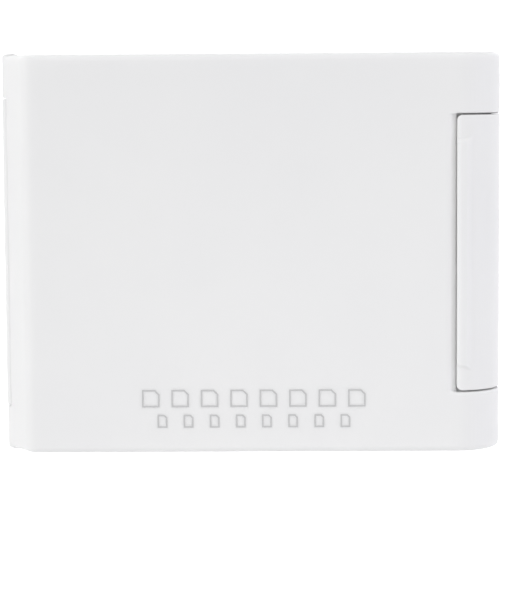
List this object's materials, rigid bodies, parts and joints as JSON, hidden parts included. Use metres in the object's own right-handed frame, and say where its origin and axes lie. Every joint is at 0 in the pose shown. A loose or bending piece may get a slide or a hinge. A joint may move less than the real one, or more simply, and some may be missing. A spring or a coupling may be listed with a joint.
{
  "type": "memory card case",
  "caption": "White moulded hard case for memory cards, with a cover hinged along one side, a wrap-round snap latch, and a card tray over a soft pad in each half.",
  "frame": {"origin": "on the back face, in the middle of the closed case's outline", "axes": "+X from the hinge to the latch, +Y along the hinge towards the picture's top edge, +Z from the back face to the front face"},
  "size_m": [0.092, 0.0738, 0.0174],
  "materials": {
    "white_abs": "fine satin moulding",
    "tray_abs": "satin moulding",
    "soft_foam": "matt closed-cell foam",
    "steel_pin": "drawn wire"
  },
  "bodies": {
    "base": {"rear_shell": "white_abs", "hinge_pin": "steel_pin", "rear_card_tray": "tray_abs", "rear_pad": "soft_foam"},
    "lid": {"front_cover": "white_abs", "upper_hinge_plug": "white_abs", "lower_hinge_plug": "white_abs", "front_card_tray": "tray_abs", "front_pad": "soft_foam"},
    "latch": {"latch": "white_abs"}
  },
  "joints": [
    {"name": "lid_hinge", "type": "hinge", "parent": "base", "child": "lid", "pos_m": [-0.04423, 0, 0.0085], "axis": [0, -1, 0], "range_deg": [0, 180]},
    {"name": "latch_hinge", "type": "hinge", "parent": "base", "child": "latch", "pos_m": [0.04249, 0, 0.00382], "axis": [0, 1, 0], "range_deg": [0, 90]}
  ]
}
